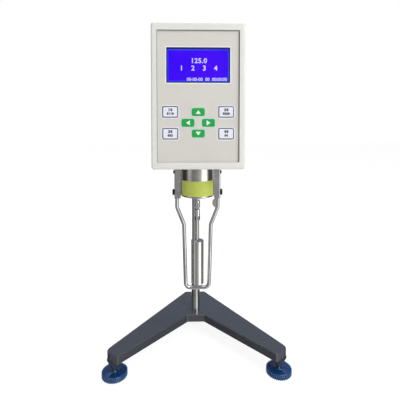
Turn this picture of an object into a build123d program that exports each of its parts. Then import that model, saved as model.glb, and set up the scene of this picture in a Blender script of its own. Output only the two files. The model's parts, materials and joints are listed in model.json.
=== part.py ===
from build123d import *
import os
from math import acos, cos, pi, radians, sin, tan

# Rotational viscometer on a V-shaped stand: a head that climbs a racked column, a rotor that hangs
# from a universal joint, and a bent-rod guard round it. Millimetres, +Z up, front of the head at -Y.
# The origin is on the table, under the middle of the object.

os.makedirs("parts", exist_ok=True)

# Clearances
running_gap = 0.05
free_gap = 0.3
panel_gap = 0.15

# Where the main axes stand
column_y = 51.0
rotor_reach = 123.0
rotor_y = column_y - rotor_reach
front_reach = 50.0
head_front_y = rotor_y - front_reach
head_bottom = 325.0
head_height = 196.0
rod_rise = 96.0
rod_z = head_bottom + rod_rise

# Stand casting, as distances from the column axis
base_top = 39.0
base_thick = 13.0
base_rear = 71.0
rear_half_width = 20.0
leg_front = 130.0
leg_outer_front = 116.3
leg_outer_x = 142.8
leg_inner_x = 119.5
crotch_front = 18.0
crotch_half_width = 15.0
leg_end_radius = 11.0
leg_inner_radius = 1.6
base_corner_radius = 3.0
base_edge_bevel = 1.2
base_bottom = base_top - base_thick
foot_x = 127.0
foot_reach = 115.0
foot_y = column_y - foot_reach
rear_foot_reach = 50.0
rear_foot_y = column_y + rear_foot_reach
boss_top_radius = 11.5
boss_bottom_radius = 4.4
boss_height = 15.0
stud_cover = 3.0

# Levelling feet
foot_knob_radius = 19.6
foot_knob_height = 7.7
foot_knob_floor = 0.3
foot_rib_count = 36
foot_rib_radius = 0.9
foot_hub_radius = 6.0
foot_hub_height = 0.8
pad_radius = 12.0
pad_height = 1.6
pad_pin_radius = 2.5
pad_pin_height = 3.0
foot_stud_radius = 3.0
foot_stud_top = 30.0
foot_stud_seat = 5.0

# Column with its rack
shank_radius = 7.75
shank_top = 120.0
rod_radius = 6.6
column_over = 54.0
column_top = rod_z + column_over
rod_chamfer = 1.0
spigot_radius = 6.0
spigot_drop = 6.0
nut_across_flats = 18.0
nut_height = 4.0
washer_radius = 11.0
washer_height = 1.2
rack_module = 1.0
rack_line = 4.6
rack_drop = 11.0
rack_length = 202.0
rack_top = column_top - rack_drop
rack_bottom = rack_top - rack_length
tooth_addendum = 0.9
tooth_dedendum = 1.2
pressure_angle = 20.0
backlash = 0.2

# Lift block and what turns in it
pinion_teeth = 16
mesh_gap = 0.1
lift_height = 50.0
lift_half_width = 21.0
lift_front = 17.0
lift_rear = 27.0
lift_corner_radius = 6.0
socket_radius = 14.0
socket_reach = 51.0
socket_front_y = column_y - socket_reach
pinion_rise = 12.0
pinion_half_width = 4.0
pinion_bore_radius = 9.5
pinion_shaft_radius = 3.0
bush_start = 8.0
lift_knob_radius = 20.0
lift_knob_width = 16.0
lift_knob_start = 24.0
lift_knob_flutes = 24
lock_drop = 15.0
lock_knob_radius = 14.0
lock_knob_width = 15.0
clamp_reach = 37.0
clamp_y = column_y - clamp_reach
clamp_knob_radius = 11.0
clamp_knob_width = 13.0
knob_stud_radius = 3.0
knob_stand_off = 4.0
lobe_count = 6

# Head housing
head_width = 126.0
head_depth = 95.0
head_corner_radius = 4.0
bezel_depth = 14.0
bezel_edge_radius = 2.5
shell_wall = 2.5
panel_side_border = 7.75
panel_end_border = 9.95
panel_width = head_width - 2 * panel_side_border
panel_height = head_height - 2 * panel_end_border
panel_drop = 0.25
panel_recess = 3.0
panel_thick = 3.0
ledge = 5.0
head_rod_radius = 6.0
head_rod_gap = 19.0
head_rod_end_y = column_y - head_rod_gap
head_flange_radius = 18.0
head_flange_thick = 4.5

# Display and keys; their heights are shares of the head's height
window_width = 85.7
window_height = 47.2
window_share = 0.7138
window_z = head_bottom + window_share * head_height
window_proud = 0.2
module_margin = 3.7
module_depth = 8.0
board_thick = 1.6
board_overlap = 3.0
key_share = 0.3209
key_z = head_bottom + key_share * head_height
white_key_width = 21.5
white_key_height = 15.7
white_key_radius = 2.2
white_key_x = 37.6
white_key_rise = 14.65
arrow_key_width = 16.4
arrow_key_height = 9.7
arrow_key_radius = 2.0
arrow_key_x = 13.8
arrow_key_rise = 14.45
key_proud = 0.8
key_cap_thick = 2.8
key_stem_radius = 2.0
key_travel = 0.5
switch_size = 6.0
switch_depth = 5.0
plunger_radius = 1.75
plunger_depth = 1.0

# Drive and measuring parts, as rises above the bottom of the head
plate_half_x = 35.0
plate_half_y = 28.0
plate_thick = 4.0
upper_plate_rise = 71.0
upper_plate_bottom = head_bottom + upper_plate_rise
post_radius = 3.0
post_x = 28.0
post_y = 22.0
motor_radius = 25.0
motor_height = 40.0
motor_shaft_radius = 2.5
motor_shaft_rise = 10.0
disc_radius = 22.0
disc_thick = 1.2
disc_slots = 12
disc_slot_width = 1.5
disc_slot_length = 5.0
drive_disc_rise = 51.0
drive_disc_z = head_bottom + drive_disc_rise
sensing_disc_rise = 27.0
sensing_disc_z = head_bottom + sensing_disc_rise
hub_radius = 5.0
disc_hub_height = 6.0
pivot_radius = 1.0
pivot_rise = 48.7
pivot_top = head_bottom + pivot_rise
pivot_length = 7.7
pivot_shoulder = pivot_top - pivot_length
shaft_radius = 2.0
collet_radius = 4.0
collet_length = 12.0
collet_top = sensing_disc_z + collet_length
spring_rise = 9.5
spring_z = sensing_disc_z + spring_rise
spring_height = 1.5
spring_thick = 0.4
spring_turns = 4
spring_pitch = 3.0
anchor_radius = 1.0
sensor_depth = 12.0
sensor_half_width = 5.0
sensor_height = 11.0
sensor_slot = 4.2
bearing_radius = 8.0
bearing_flange_radius = 12.0
bearing_flange_thick = 3.0
bearing_seat = 8.0

# Collar, joint, rotor and guard
collar_radius = 25.0
collar_wall = 2.0
collar_height = 45.0
collar_bottom = head_bottom - collar_height
bearing_clear = 10.0
bearing_bottom = collar_bottom + bearing_clear
cone_height = 5.0
cone_bottom = collar_bottom - cone_height
cone_radius = 7.5
cone_hole_radius = 3.0
band_thick = 0.25
band_inset = 2.5
band_height = 22.0
band_bottom = collar_bottom + band_inset
band_top = band_bottom + band_height
band_half_angle = 65.0
fork_radius = 4.0
fork_height = 10.0
fork_drop = 13.0
upper_fork_bottom = cone_bottom - fork_drop
joint_gap = 3.0
lower_fork_top = upper_fork_bottom - joint_gap
fork_slot = 3.6
fork_slot_depth = 6.5
link_width = 3.0
link_pin_radius = 0.8
link_pin_inset = 3.0
link_end = 2.2
rotor_nut_height = 6.0
rotor_rod_radius = 1.8
rotor_radius = 9.42
rotor_length = 65.1
rotor_drop = 31.0
lower_fork_bottom = lower_fork_top - fork_height
nut_bottom = lower_fork_bottom - rotor_nut_height
rotor_top = nut_bottom - rotor_drop
rotor_edge_radius = 1.0
guard_rod_radius = 2.85
guard_stand_off = 5.2
guard_top_x = collar_radius + guard_stand_off
guard_knee_drop = 18.0
guard_knee_z = collar_bottom - guard_knee_drop
guard_waist_x = 20.0
guard_waist_drop = 44.0
guard_waist_z = collar_bottom - guard_waist_drop
guard_foot_x = 17.4
guard_bar_gap = 6.9
guard_bar_z = rotor_top - rotor_length - guard_bar_gap
guard_bend_radius = 9.0
guard_corner_radius = 7.0
guard_end_rise = 14.0
guard_end_z = collar_bottom + guard_end_rise
thumb_pad_reach = 5.2
thumb_pad_height = 14.0
thumb_pad_thick = 3.2
clip_reach = 9.0
clip_outer_x = collar_radius + clip_reach
clip_half_depth = 5.0
clip_neck = 2.2
clip_neck_half_depth = 3.0
clip_head_gap = 3.0
clip_top = head_bottom - clip_head_gap
clip_hang = 4.0
clip_bottom = collar_bottom - clip_hang
clip_corner_radius = 2.0
clip_groove_width = 1.4
clip_groove_depth = 1.3
clip_screw_drop = 10.0
clip_screw_z = head_bottom - clip_screw_drop
clip_screw_head_radius = 2.5
clip_screw_head = 1.8
clip_screw_radius = 1.5
guard_screw_rise = 5.0
guard_screw_z = collar_bottom + guard_screw_rise
guard_screw_head_radius = 4.5
guard_screw_head = 2.7
guard_screw_radius = 2.0

# Top and rear fittings
level_y_inset = 26.0
level_radius = 9.0
level_flange_radius = 11.0
level_flange = 1.5
level_depth = 8.0
glass_radius = 7.0
rear_fit_rise = 25.0
rear_fit_z = head_bottom + rear_fit_rise
inlet_x = -34.0
inlet_width = 27.0
inlet_height = 20.0
inlet_depth = 17.0
inlet_flange = 1.5
switch_x = 30.0
switch_width = 15.0
switch_height = 21.0
rocker_width = 10.0
rocker_height = 15.0
rocker_tilt = 8.0
rocker_depth = 6.0
case_screw_inset = 9.0
case_screw_radius = 1.5
case_screw_head_radius = 3.2
case_screw_head = 1.8
shell_edge_radius = 2.5
panel_corner_radius = 1.5
key_edge_bevel = 0.4
blade_pitch = 7.0
blade_drop = 2.0
blade_thick = 2.0
blade_width = 4.0
blade_length = 11.0
switch_flange = 1.2
switch_body_depth = 14.0
rocker_pin_radius = 1.0
rocker_pin_reach = 6.2


def write(piece, name):
    """Label one finished sub-part and write it to its own file."""
    piece.part.label = name
    export_step(piece.part, f"parts/{name}.step")


def flat(z, x=0.0, y=0.0):
    """Horizontal plane at height z, with its own origin at x, y."""
    return Plane(origin=(x, y, z))


def front(y, x=0.0, z=0.0):
    """Upright plane that faces the viewer, +X to the right and +Z up."""
    return Plane(origin=(x, y, z), x_dir=(1, 0, 0), z_dir=(0, -1, 0))


def side(x, y=0.0, z=0.0):
    """Upright plane that faces +X, with +Y to its right and +Z up."""
    return Plane(origin=(x, y, z), x_dir=(0, 1, 0), z_dir=(1, 0, 0))


# Stand casting
boss_bottom = base_bottom - boss_height
foot_places = {"left": (-foot_x, foot_y), "right": (foot_x, foot_y), "rear": (0.0, rear_foot_y)}
stud_hole_top = base_top - stud_cover

with BuildPart() as base_casting:
    with BuildSketch(flat(base_bottom, y=column_y)) as outline:
        with BuildLine():
            Polyline(
                (0, base_rear),
                (rear_half_width, base_rear),
                (leg_outer_x, -leg_outer_front),
                (leg_inner_x, -leg_front),
                (crotch_half_width, -crotch_front),
                (0, -crotch_front),
                close=True,
            )
        make_face()
        mirror(about=Plane.YZ)
        tips = outline.vertices().filter_by(lambda v: abs(abs(v.X) - leg_outer_x) < 0.1)
        fillet(tips, leg_end_radius)
        inner_tips = outline.vertices().filter_by(lambda v: abs(abs(v.X) - leg_inner_x) < 0.1)
        fillet(inner_tips, leg_inner_radius)
        corners = outline.vertices().filter_by(
            lambda v: abs(abs(v.X) - crotch_half_width) < 0.1
            or abs(abs(v.X) - rear_half_width) < 0.1
        )
        fillet(corners, base_corner_radius)
    extrude(amount=base_thick)
    chamfer(base_casting.faces().sort_by(Axis.Z)[-1].edges(), base_edge_bevel)
    for place_x, place_y in foot_places.values():
        with BuildSketch(flat(base_bottom, place_x, place_y)):
            Circle(boss_top_radius)
        with BuildSketch(flat(boss_bottom, place_x, place_y)):
            Circle(boss_bottom_radius)
        loft()
        with BuildSketch(flat(boss_bottom, place_x, place_y)):
            Circle(foot_stud_radius + running_gap)
        extrude(amount=stud_hole_top - boss_bottom, mode=Mode.SUBTRACT)
    with BuildSketch(flat(base_bottom, y=column_y)):
        Circle(spigot_radius)
    extrude(amount=base_thick, mode=Mode.SUBTRACT)
write(base_casting, "base_casting")

# Levelling feet: a pad that stays still, a ribbed knob over it and the knob's stud
for foot_name, (place_x, place_y) in foot_places.items():
    with BuildPart() as foot_pad:
        with BuildSketch(flat(0.0, place_x, place_y)):
            Circle(pad_radius)
        extrude(amount=pad_height)
        with BuildSketch(flat(pad_height, place_x, place_y)):
            Circle(pad_pin_radius)
        extrude(amount=pad_pin_height)
    write(foot_pad, f"{foot_name}_foot_pad")

    with BuildPart() as foot_knob:
        with BuildSketch(flat(foot_knob_floor, place_x, place_y)):
            Circle(foot_knob_radius)
            with PolarLocations(foot_knob_radius + 0.2 * foot_rib_radius, foot_rib_count):
                Circle(foot_rib_radius, mode=Mode.SUBTRACT)
        extrude(amount=foot_knob_height)
        with BuildSketch(flat(foot_knob_floor + foot_knob_height, place_x, place_y)):
            Circle(foot_hub_radius)
        extrude(amount=foot_hub_height)
        with BuildSketch(flat(foot_knob_floor, place_x, place_y)):
            Circle(pad_radius + free_gap)
        extrude(amount=pad_height, mode=Mode.SUBTRACT)
        with BuildSketch(flat(foot_knob_floor, place_x, place_y)):
            Circle(pad_pin_radius + running_gap)
        extrude(amount=foot_stud_seat - foot_knob_floor, mode=Mode.SUBTRACT)
        with BuildSketch(flat(foot_stud_seat, place_x, place_y)):
            Circle(foot_stud_radius)
        extrude(amount=foot_knob_height + foot_hub_height, mode=Mode.SUBTRACT)
    write(foot_knob, f"{foot_name}_foot_knob")

    with BuildPart() as foot_stud:
        with BuildSketch(flat(foot_stud_seat, place_x, place_y)):
            Circle(foot_stud_radius)
        extrude(amount=foot_stud_top - foot_stud_seat)
        chamfer(foot_stud.edges().sort_by(Axis.Z)[-1], 0.6)
    write(foot_stud, f"{foot_name}_foot_stud")

# Column: shouldered shank, thinner rod above it, rack milled in the back of the rod
tooth_pitch = pi * rack_module
pinion_z = rod_z + pinion_rise
pinion_radius = rack_module * pinion_teeth / 2
pinion_y = column_y + rack_line + pinion_radius + mesh_gap
flank_run = tan(radians(pressure_angle))
gap_half = tooth_pitch / 4 + backlash / 4
teeth_down = int((pinion_z - rack_bottom) / tooth_pitch)
teeth_up = int((rack_top - pinion_z) / tooth_pitch)

with BuildPart() as column:
    with BuildSketch(side(0, column_y)):
        with BuildLine():
            Polyline(
                (0, base_bottom - spigot_drop),
                (spigot_radius, base_bottom - spigot_drop),
                (spigot_radius, base_top),
                (shank_radius, base_top),
                (shank_radius, shank_top),
                (rod_radius, shank_top + shank_radius - rod_radius),
                (rod_radius, column_top - rod_chamfer),
                (rod_radius - rod_chamfer, column_top),
                (0, column_top),
                close=True,
            )
        make_face()
    revolve(axis=Axis((0, column_y, 0), (0, 0, 1)))
    with BuildSketch(side(-rod_radius, column_y + rack_line + tooth_addendum, rack_bottom)):
        Rectangle(rod_radius, rack_top - rack_bottom, align=(Align.MIN, Align.MIN))
    extrude(amount=2 * rod_radius, mode=Mode.SUBTRACT)
    with BuildSketch(side(-rod_radius, column_y + rack_line, pinion_z)):
        with Locations([(0, step * tooth_pitch) for step in range(-teeth_down, teeth_up)]):
            Polygon(
                (-tooth_dedendum, gap_half - tooth_dedendum * flank_run),
                (2 * tooth_addendum, gap_half + 2 * tooth_addendum * flank_run),
                (2 * tooth_addendum, -gap_half - 2 * tooth_addendum * flank_run),
                (-tooth_dedendum, -gap_half + tooth_dedendum * flank_run),
                align=None,
            )
    extrude(amount=2 * rod_radius, mode=Mode.SUBTRACT)
write(column, "column")

with BuildPart() as column_nut:
    with BuildSketch(flat(base_bottom - washer_height, y=column_y)):
        Circle(washer_radius)
        Circle(spigot_radius, mode=Mode.SUBTRACT)
    extrude(amount=washer_height)
    with BuildSketch(flat(base_bottom - washer_height - nut_height, y=column_y)):
        RegularPolygon(nut_across_flats / 2, 6, major_radius=False)
        Circle(spigot_radius, mode=Mode.SUBTRACT)
    extrude(amount=nut_height)
write(column_nut, "column_nut")

# Lift block that slides on the rod and carries the pinion, with a socket for the head's rod
lift_bottom = rod_z - lift_height / 2
lock_z = rod_z - lock_drop

with BuildPart() as lift_block:
    with BuildSketch(flat(lift_bottom, y=column_y + (lift_rear - lift_front) / 2)):
        RectangleRounded(2 * lift_half_width, lift_front + lift_rear, lift_corner_radius)
    extrude(amount=lift_height)
    with BuildSketch(front(socket_front_y, z=rod_z)):
        Circle(socket_radius)
    extrude(amount=socket_front_y - column_y + lift_front)
    with BuildSketch(flat(lift_bottom, y=column_y)):
        Circle(rod_radius + running_gap)
    extrude(amount=lift_height, mode=Mode.SUBTRACT)
    with BuildSketch(front(socket_front_y, z=rod_z)):
        Circle(head_rod_radius + running_gap)
    extrude(amount=socket_front_y - head_rod_end_y - free_gap, mode=Mode.SUBTRACT)
    with BuildSketch(side(-pinion_half_width - free_gap, pinion_y, pinion_z)):
        Circle(pinion_bore_radius)
    extrude(amount=lift_half_width + pinion_half_width + free_gap, mode=Mode.SUBTRACT)
    with BuildSketch(side(-lift_half_width, pinion_y, pinion_z)):
        Circle(pinion_shaft_radius + running_gap)
    extrude(amount=lift_half_width, mode=Mode.SUBTRACT)
    with BuildSketch(side(-lift_half_width, column_y, lock_z)):
        Circle(knob_stud_radius + running_gap)
    extrude(amount=lift_half_width, mode=Mode.SUBTRACT)
    with BuildSketch(side(-socket_radius, clamp_y, rod_z)):
        Circle(knob_stud_radius + running_gap)
    extrude(amount=socket_radius, mode=Mode.SUBTRACT)
write(lift_block, "lift_block")

with BuildPart() as pinion_bush:
    with BuildSketch(side(bush_start, pinion_y, pinion_z)):
        Circle(pinion_bore_radius)
        Circle(pinion_shaft_radius + running_gap, mode=Mode.SUBTRACT)
    extrude(amount=lift_half_width - bush_start)
write(pinion_bush, "pinion_bush")


def involute(angle):
    """Involute function of a pressure angle in radians."""
    return tan(angle) - angle


def tooth_flank(radius):
    """Half angle that a pinion tooth spans at one radius."""
    base_radius = pinion_radius * cos(radians(pressure_angle))
    pitch_half = (tooth_pitch / 2 - backlash / 2) / (2 * pinion_radius)
    local_angle = acos(min(1.0, base_radius / radius))
    return pitch_half + involute(radians(pressure_angle)) - involute(local_angle)


pinion_outer = pinion_radius + tooth_addendum
pinion_root = pinion_radius - tooth_dedendum
flank_radii = [pinion_root, pinion_radius * cos(radians(pressure_angle)), pinion_radius, pinion_outer]
pinion_outline = []
for tooth in range(pinion_teeth):
    middle = 2 * pi * tooth / pinion_teeth
    rising = [(radius, middle - tooth_flank(radius)) for radius in flank_radii]
    falling = [(radius, middle + tooth_flank(radius)) for radius in reversed(flank_radii)]
    pinion_outline += [(radius * cos(turn), radius * sin(turn)) for radius, turn in rising + falling]

with BuildPart() as pinion_shaft:
    with BuildSketch(side(-pinion_half_width, pinion_y, pinion_z)):
        with BuildLine():
            Polyline(*pinion_outline, close=True)
        make_face()
    extrude(amount=2 * pinion_half_width)
    with BuildSketch(side(pinion_half_width, pinion_y, pinion_z)):
        Circle(pinion_shaft_radius + 1.5)
    extrude(amount=bush_start - pinion_half_width - free_gap)
    with BuildSketch(side(free_gap - lift_half_width, pinion_y, pinion_z)):
        Circle(pinion_shaft_radius)
    extrude(amount=lift_half_width - free_gap + lift_knob_start + lift_knob_width)
write(pinion_shaft, "pinion_shaft")

with BuildPart() as lift_knob:
    with BuildSketch(side(lift_knob_start, pinion_y, pinion_z)):
        Circle(lift_knob_radius)
        with PolarLocations(lift_knob_radius, lift_knob_flutes):
            Circle(lift_knob_radius / 16, mode=Mode.SUBTRACT)
        Circle(pinion_shaft_radius, mode=Mode.SUBTRACT)
    extrude(amount=lift_knob_width)
write(lift_knob, "lift_knob")


def star_knob(stud_tip_x, head_start_x, knob_radius, knob_width, centre_y, centre_z):
    """Lobed knob on the left, with the stud that runs in from it towards the middle."""
    with BuildPart() as knob:
        with BuildSketch(side(-head_start_x, centre_y, centre_z)):
            Circle(0.8 * knob_radius)
            with PolarLocations(0.72 * knob_radius, lobe_count):
                Circle(0.28 * knob_radius)
        extrude(amount=-knob_width)
        fillet(knob.edges().group_by(Axis.X)[0], 0.06 * knob_radius)
        with BuildSketch(side(-head_start_x, centre_y, centre_z)):
            Circle(knob_stud_radius)
        extrude(amount=head_start_x - stud_tip_x)
    return knob


lock_knob = star_knob(rod_radius + free_gap, lift_half_width + knob_stand_off,
                      lock_knob_radius, lock_knob_width, column_y, lock_z)
write(lock_knob, "lock_knob")
clamp_knob = star_knob(head_rod_radius + free_gap, socket_radius + knob_stand_off,
                       clamp_knob_radius, clamp_knob_width, clamp_y, rod_z)
write(clamp_knob, "clamp_knob")
# Head housing: rear shell, front bezel and the panel set into it
head_z = head_bottom + head_height / 2
head_top = head_bottom + head_height
head_back_y = head_front_y + head_depth
panel_z = head_z - panel_drop
shell_front_y = head_front_y + bezel_depth
shell_back_y = head_back_y - shell_wall
panel_face_y = head_front_y + panel_recess
panel_back_y = panel_face_y + panel_thick
floor_z = head_bottom + shell_wall
level_y = head_front_y + level_y_inset
screw_x = head_width / 2 - case_screw_inset
screw_rise = head_height / 2 - case_screw_inset
case_screw_places = [(x, z) for x in (-screw_x, screw_x) for z in (-screw_rise, screw_rise)]

with BuildPart() as rear_shell:
    with BuildSketch(front(shell_front_y, z=head_z)):
        RectangleRounded(head_width, head_height, head_corner_radius)
    extrude(amount=shell_front_y - head_back_y)
    fillet(rear_shell.faces().sort_by(Axis.Y)[-1].edges(), shell_edge_radius)
    with BuildSketch(front(shell_front_y, z=head_z)):
        RectangleRounded(
            head_width - 2 * shell_wall, head_height - 2 * shell_wall, head_corner_radius - 1.5
        )
    extrude(amount=shell_front_y - shell_back_y, mode=Mode.SUBTRACT)
    with BuildSketch(front(shell_back_y, z=rod_z)):
        Circle(head_rod_radius)
    extrude(amount=-shell_wall, mode=Mode.SUBTRACT)
    with BuildSketch(front(shell_back_y, z=rear_fit_z)):
        with Locations((inlet_x, 0)):
            Rectangle(inlet_width, inlet_height)
        with Locations((switch_x, 0)):
            Rectangle(switch_width - 2, switch_height - 2)
    extrude(amount=-shell_wall, mode=Mode.SUBTRACT)
    with BuildSketch(front(shell_back_y, z=head_z)):
        with Locations(case_screw_places):
            Circle(case_screw_radius)
    extrude(amount=-shell_wall, mode=Mode.SUBTRACT)
    with BuildSketch(flat(head_top, y=level_y)):
        Circle(level_radius)
    extrude(amount=-shell_wall, mode=Mode.SUBTRACT)
    with BuildSketch(flat(head_bottom, y=rotor_y)):
        Circle(bearing_radius)
    extrude(amount=shell_wall, mode=Mode.SUBTRACT)
write(rear_shell, "rear_shell")

opening_width = panel_width + 2 * panel_gap
opening_height = panel_height + 2 * panel_gap
with BuildPart() as front_bezel:
    with BuildSketch(front(head_front_y, z=head_z)):
        RectangleRounded(head_width, head_height, head_corner_radius)
    extrude(amount=-bezel_depth)
    fillet(front_bezel.faces().sort_by(Axis.Y)[0].edges(), bezel_edge_radius)
    with BuildSketch(front(head_front_y, z=panel_z)):
        RectangleRounded(opening_width, opening_height, panel_corner_radius)
    extrude(amount=-panel_recess - panel_thick, mode=Mode.SUBTRACT)
    with BuildSketch(front(head_front_y, z=panel_z)):
        RectangleRounded(opening_width - 2 * ledge, opening_height - 2 * ledge, panel_corner_radius)
    extrude(amount=-bezel_depth, mode=Mode.SUBTRACT)
write(front_bezel, "front_bezel")

# Keys: name, width, height, corner radius, centre x, height of the centre
white = (white_key_width, white_key_height, white_key_radius)
arrow = (arrow_key_width, arrow_key_height, arrow_key_radius)
keys = {
    "upper_left_key": (*white, -white_key_x, key_z + white_key_rise),
    "upper_right_key": (*white, white_key_x, key_z + white_key_rise),
    "lower_left_key": (*white, -white_key_x, key_z - white_key_rise),
    "lower_right_key": (*white, white_key_x, key_z - white_key_rise),
    "up_arrow_key": (*arrow, 0.0, key_z + arrow_key_rise),
    "down_arrow_key": (*arrow, 0.0, key_z - arrow_key_rise),
    "left_arrow_key": (*arrow, -arrow_key_x, key_z),
    "right_arrow_key": (*arrow, arrow_key_x, key_z),
}

with BuildPart() as front_panel:
    with BuildSketch(front(panel_face_y, z=panel_z)):
        RectangleRounded(panel_width, panel_height, panel_corner_radius)
    extrude(amount=-panel_thick)
    with BuildSketch(front(panel_face_y)):
        with Locations((0, window_z)):
            Rectangle(window_width, window_height)
        for key_width, key_height, key_radius, key_x, key_centre_z in keys.values():
            with Locations((key_x, key_centre_z)):
                RectangleRounded(key_width + 2 * free_gap, key_height + 2 * free_gap, key_radius)
    extrude(amount=-panel_thick, mode=Mode.SUBTRACT)
write(front_panel, "front_panel")

with BuildPart() as display_window:
    with BuildSketch(front(panel_face_y - window_proud, z=window_z)):
        Rectangle(window_width - 2 * panel_gap, window_height - 2 * panel_gap)
    extrude(amount=-panel_thick - window_proud)
write(display_window, "display_window")

with BuildPart() as display_module:
    with BuildSketch(front(panel_back_y, z=window_z)):
        Rectangle(window_width + 2 * module_margin, window_height + 2 * module_margin)
    extrude(amount=-module_depth)
write(display_module, "display_module")

board_front_y = panel_back_y + module_depth
with BuildPart() as control_board:
    with BuildSketch(front(board_front_y, z=panel_z)):
        Rectangle(opening_width - 2 * ledge + 2 * board_overlap,
                  opening_height - 2 * ledge + 2 * board_overlap)
    extrude(amount=-board_thick)
write(control_board, "control_board")

switch_front_y = board_front_y - switch_depth
plunger_y = switch_front_y - plunger_depth
with BuildPart() as key_switches:
    with BuildSketch(front(board_front_y)):
        for key_width, key_height, key_radius, key_x, key_centre_z in keys.values():
            with Locations((key_x, key_centre_z)):
                Rectangle(switch_size, switch_size)
    extrude(amount=switch_depth)
    with BuildSketch(front(switch_front_y)):
        for key_width, key_height, key_radius, key_x, key_centre_z in keys.values():
            with Locations((key_x, key_centre_z)):
                Circle(plunger_radius)
    extrude(amount=plunger_depth)
write(key_switches, "key_switches")

for key_name, (key_width, key_height, key_radius, key_x, key_centre_z) in keys.items():
    key_front_y = panel_face_y - key_proud
    with BuildPart() as key:
        with BuildSketch(front(key_front_y, key_x, key_centre_z)):
            RectangleRounded(key_width, key_height, key_radius)
        extrude(amount=-key_cap_thick)
        chamfer(key.faces().sort_by(Axis.Y)[0].edges(), key_edge_bevel)
        with BuildSketch(front(key_front_y + key_cap_thick, key_x, key_centre_z)):
            Circle(key_stem_radius)
        extrude(amount=key_front_y + key_cap_thick - plunger_y + key_travel + free_gap)
    write(key, key_name)

# Rod from the back of the head into the lift block's socket
with BuildPart() as head_rod:
    with BuildSketch(front(shell_back_y, z=rod_z)):
        Circle(head_flange_radius)
    extrude(amount=head_flange_thick)
    with BuildSketch(front(shell_back_y, z=rod_z)):
        Circle(head_rod_radius)
    extrude(amount=shell_back_y - head_rod_end_y)
    chamfer(head_rod.edges().sort_by(Axis.Y)[-1], 1.0)
write(head_rod, "head_rod")

# Round level let into the top of the head
with BuildPart() as level_ring:
    with BuildSketch(flat(head_top, y=level_y)):
        Circle(level_flange_radius)
    extrude(amount=level_flange)
    chamfer(level_ring.edges().sort_by(Axis.Z)[-1], 0.5)
    with BuildSketch(flat(head_top, y=level_y)):
        Circle(level_radius)
    extrude(amount=-level_depth)
    with BuildSketch(flat(head_top + level_flange, y=level_y)):
        Circle(glass_radius)
    extrude(amount=-level_depth, mode=Mode.SUBTRACT)
write(level_ring, "level_ring")

with BuildPart() as level_glass:
    with BuildSketch(flat(head_top + level_flange - level_depth, y=level_y)):
        Circle(glass_radius)
    extrude(amount=level_depth - free_gap)
    fillet(level_glass.edges().sort_by(Axis.Z)[-1], 1.0)
write(level_glass, "level_glass")

# Rear fittings: power inlet with its three blades, rocker switch in its frame, case screws
with BuildPart() as power_inlet:
    with BuildSketch(front(head_back_y, inlet_x, rear_fit_z)):
        RectangleRounded(inlet_width + 4 * inlet_flange, inlet_height + 4 * inlet_flange, 2)
    extrude(amount=-inlet_flange)
    with BuildSketch(front(head_back_y, inlet_x, rear_fit_z)):
        Rectangle(inlet_width, inlet_height)
    extrude(amount=inlet_depth)
    with BuildSketch(front(head_back_y + inlet_flange, inlet_x, rear_fit_z)):
        RectangleRounded(inlet_width - 4 * inlet_flange, inlet_height - 4 * inlet_flange, 2)
    extrude(amount=inlet_depth - inlet_flange, mode=Mode.SUBTRACT)
    with BuildSketch(front(head_back_y - inlet_depth + 2 * inlet_flange, inlet_x, rear_fit_z)):
        with Locations((-blade_pitch, -blade_drop), (0, blade_drop), (blade_pitch, -blade_drop)):
            Rectangle(blade_thick, blade_width)
    extrude(amount=-blade_length)
write(power_inlet, "power_inlet")

rocker_axis_y = head_back_y - 2.0
pocket_width = rocker_width + 2 * free_gap
pocket_height = rocker_height + 2.0
with BuildPart() as switch_frame:
    with BuildSketch(front(head_back_y, switch_x, rear_fit_z)):
        RectangleRounded(switch_width, switch_height, 1)
    extrude(amount=-switch_flange)
    with BuildSketch(front(head_back_y, switch_x, rear_fit_z)):
        Rectangle(switch_width - 2, switch_height - 2)
    extrude(amount=switch_body_depth)
    with BuildSketch(front(head_back_y + switch_flange, switch_x, rear_fit_z)):
        Rectangle(pocket_width, pocket_height)
    extrude(amount=switch_flange + switch_body_depth - 2.0, mode=Mode.SUBTRACT)
    with BuildSketch(side(switch_x - rocker_pin_reach, rocker_axis_y, rear_fit_z)):
        Circle(rocker_pin_radius + running_gap)
    extrude(amount=2 * rocker_pin_reach, mode=Mode.SUBTRACT)
write(switch_frame, "switch_frame")

rocker_half = rocker_height / 2 - free_gap
rocker_plane = side(switch_x - rocker_width / 2, rocker_axis_y, rear_fit_z)
with BuildPart() as power_switch:
    with BuildSketch(rocker_plane):
        Polygon(
            (-rocker_depth / 2, -rocker_half / 2),
            (-rocker_depth / 2, rocker_half / 2),
            (rocker_depth / 4, rocker_half),
            (rocker_depth / 2, rocker_half),
            (rocker_depth / 2 - 0.7, 0),
            (rocker_depth / 2, -rocker_half),
            (rocker_depth / 4, -rocker_half),
            rotation=rocker_tilt,
            align=None,
        )
    extrude(amount=rocker_width)
    with BuildSketch(side(switch_x - rocker_pin_reach + free_gap, rocker_axis_y, rear_fit_z)):
        Circle(rocker_pin_radius)
    extrude(amount=2 * (rocker_pin_reach - free_gap))
write(power_switch, "power_switch")

with BuildPart() as case_screws:
    with BuildSketch(front(head_back_y, z=head_z)):
        with Locations(case_screw_places):
            Circle(case_screw_head_radius)
    extrude(amount=-case_screw_head)
    with BuildSketch(front(head_back_y, z=head_z)):
        with Locations(case_screw_places):
            Circle(case_screw_radius)
    extrude(amount=shell_wall)
write(case_screws, "case_screws")

# Instrument frame inside the head
plate_top = floor_z + plate_thick
upper_plate_top = upper_plate_bottom + plate_thick
shaft_places = [(x, y) for x in (-post_x, post_x) for y in (-post_y, post_y)]

with BuildPart() as lower_plate:
    with BuildSketch(flat(floor_z, y=rotor_y)):
        RectangleRounded(2 * plate_half_x, 2 * plate_half_y, 3)
        Circle(bearing_radius, mode=Mode.SUBTRACT)
    extrude(amount=plate_thick)
write(lower_plate, "lower_plate")

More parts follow.
